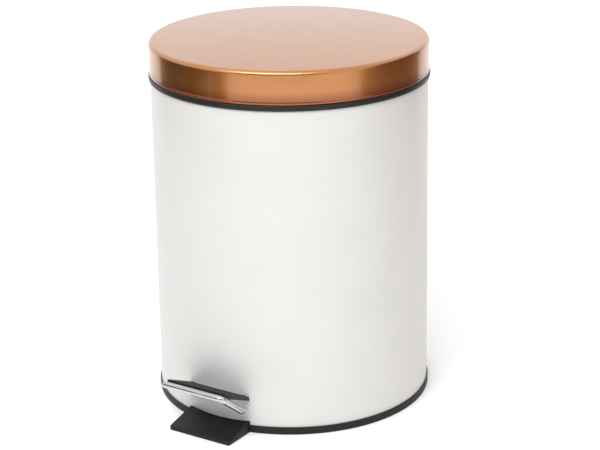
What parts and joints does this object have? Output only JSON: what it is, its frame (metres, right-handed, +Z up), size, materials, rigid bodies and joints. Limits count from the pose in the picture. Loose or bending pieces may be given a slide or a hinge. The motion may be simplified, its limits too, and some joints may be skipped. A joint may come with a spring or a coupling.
{
  "type": "pedal trash can",
  "caption": "Round pedal bin with a white steel shell, copper-coloured hinged lid, black rim and base, lift-out bucket and a foot pedal that raises the lid.",
  "frame": {"origin": "centre of the flat underside of the base", "axes": "+Z up through the lid, -Y towards the foot pedal, +X to the right seen from behind the pedal looking at the bin"},
  "size_m": [0.2078, 0.2491, 0.272],
  "materials": {
    "white_enamel": "satin white powder coat on rolled steel",
    "copper_lacquer": "copper-coloured metallic lacquer on drawn steel",
    "black_plastic": "moulded black polypropylene, fine grain",
    "bright_chrome": "bright chrome plate",
    "zinc_steel": "zinc-plated steel",
    "black_rubber": "soft black rubber"
  },
  "bodies": {
    "bin_body": {"base_moulding": "black_plastic", "body_shell": "white_enamel", "top_rim_collar": "black_plastic", "hinge_housing": "black_plastic", "hinge_pin": "zinc_steel", "housing_rivet_left": "zinc_steel", "housing_rivet_right": "zinc_steel", "pedal_axle": "zinc_steel", "axle_clip_left": "zinc_steel", "axle_clip_right": "zinc_steel", "lower_rod_guide": "black_plastic", "upper_rod_guide": "black_plastic", "inner_bucket": "black_plastic"},
    "pedal": {"pedal_lever": "zinc_steel", "pedal_pad": "black_plastic", "pedal_rod": "bright_chrome"},
    "lift": {"lift_rod": "zinc_steel"},
    "lid": {"lid_shell": "copper_lacquer", "lid_liner": "black_plastic", "lid_hinge_bracket": "black_plastic", "crank_pin": "zinc_steel", "lid_rivet_left": "zinc_steel", "lid_rivet_right": "zinc_steel", "lid_buffer_front": "black_rubber", "lid_buffer_left": "black_rubber", "lid_buffer_right": "black_rubber"},
    "bail": {"bucket_bail": "zinc_steel"}
  },
  "joints": [
    {"name": "pedal_press", "type": "hinge", "parent": "bin_body", "child": "pedal", "pos_m": [0, -0.092, 0.02], "axis": [1, 0, 0], "range_deg": [0, 18]},
    {"name": "lift_slide", "type": "slide", "parent": "bin_body", "child": "lift", "axis": [0, 0, 1], "range_m": [0, 0.01505]},
    {"name": "lid_hinge", "type": "hinge", "parent": "bin_body", "child": "lid", "pos_m": [0, 0.111, 0.246], "axis": [-1, 0, 0], "range_deg": [0, 74.05]},
    {"name": "bail_swing", "type": "hinge", "parent": "bin_body", "child": "bail", "pos_m": [0, 0, 0.254], "axis": [-1, 0, 0], "range_deg": [0, 8]}
  ],
  "couplings": [
    {"joint": "lift_slide", "follows": "pedal_press", "m_per_rad": 0.047874},
    {"joint": "lid_hinge", "follows": "pedal_press", "ratio": 4.1111}
  ]
}
